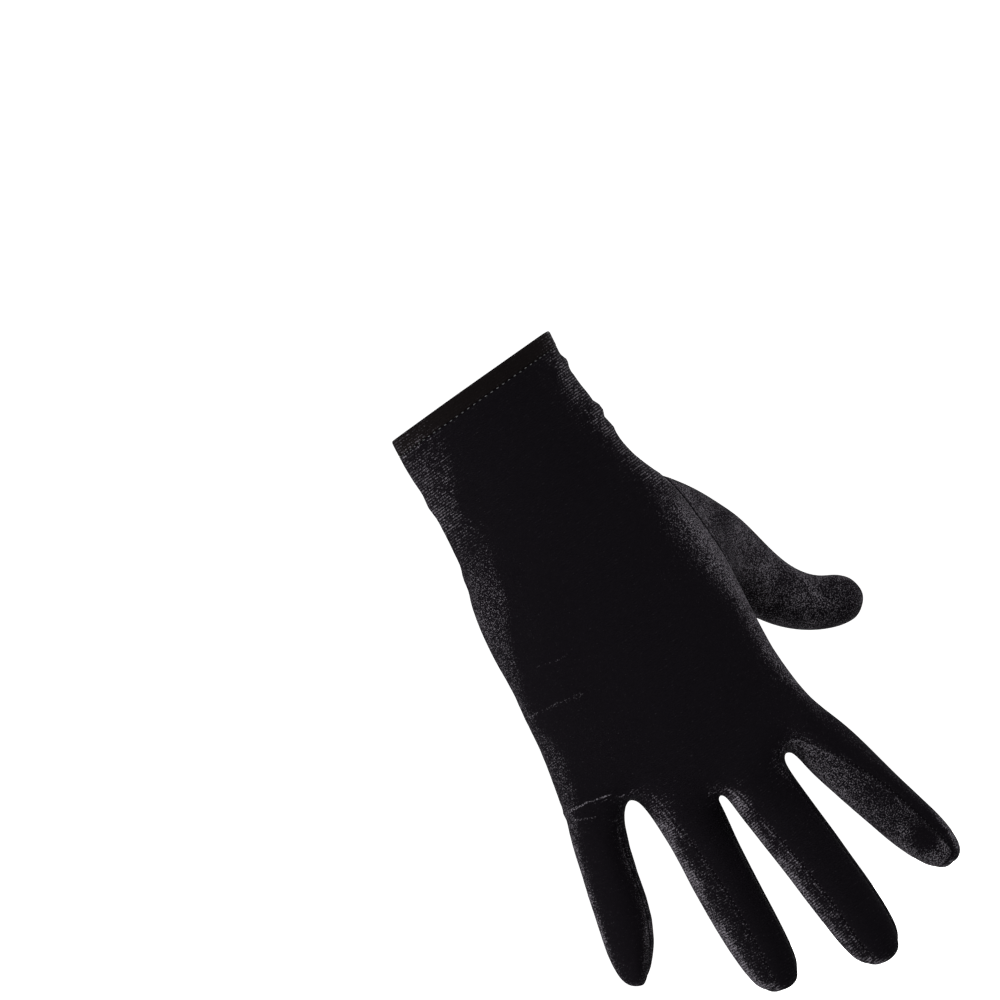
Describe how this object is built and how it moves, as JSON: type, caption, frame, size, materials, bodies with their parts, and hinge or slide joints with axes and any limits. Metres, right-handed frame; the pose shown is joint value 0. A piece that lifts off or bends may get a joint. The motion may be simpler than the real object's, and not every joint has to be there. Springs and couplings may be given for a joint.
{
  "type": "dress glove",
  "caption": "Wrist-length dress glove of black stretch velvet, shown worn: open narrow hem at the wrist, four spread fingers and a set-in thumb.",
  "frame": {"origin": "centre of the wrist opening, in the plane of the cuff edge, where the arm leaves the glove", "axes": "+Z out of the wrist opening along the wrist, so the fingers point to -Z; the back of the hand faces -Y and the palm +Y; the thumb is on the +X side"},
  "size_m": [0.1312, 0.0676, 0.2208],
  "materials": {
    "cuff_hem": "black stretch velvet, turned in once and stitched",
    "back_panel": "black stretch velvet, matt, with a grey sheen where it turns away and fine ribs across the hand",
    "palm_panel": "black stretch velvet, as on the back",
    "thumb": "black stretch velvet, as on the back",
    "fourchette_little_ring": "black stretch velvet, as on the back",
    "fourchette_ring_middle": "black stretch velvet, as on the back",
    "fourchette_middle_index": "black stretch velvet, as on the back"
  },
  "bodies": {
    "root": {"cuff_hem": "cuff_hem", "back_panel": "back_panel", "palm_panel": "palm_panel", "thumb": "thumb", "fourchette_little_ring": "fourchette_little_ring", "fourchette_ring_middle": "fourchette_ring_middle", "fourchette_middle_index": "fourchette_middle_index"}
  },
  "joints": []
}
